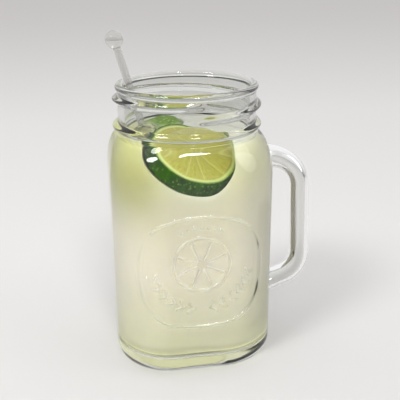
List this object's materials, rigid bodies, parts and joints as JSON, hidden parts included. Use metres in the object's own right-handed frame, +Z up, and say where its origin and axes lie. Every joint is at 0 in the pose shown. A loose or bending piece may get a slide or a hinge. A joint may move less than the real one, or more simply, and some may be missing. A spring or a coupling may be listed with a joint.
{
  "type": "italian soda in a handled jar",
  "caption": "Rounded-square glass drinking jar with a screw neck and side handle, filled with a pale citrus soda, lime pieces and a ball-topped stirrer.",
  "frame": {"origin": "on the jar's upright axis, in the plane of its foot", "axes": "+Z up along the jar's axis, +X out through the handle, -Y out through the front panel"},
  "size_m": [0.1003, 0.076, 0.1571],
  "materials": {
    "glass": "pressed clear glass, fire polished",
    "soda": "cloudy pale citrus drink",
    "lime": "wet cut lime, flesh with pale pith and green rind",
    "lime_rind": "waxy pitted lime rind",
    "stirrer_glass": "drawn clear glass rod",
    "ice": "clear melting ice"
  },
  "bodies": {
    "root": {"glass_jar": "glass", "soda": "soda", "lime_front": "lime", "lime_back": "lime_rind", "stirrer": "stirrer_glass"}
  },
  "joints": []
}
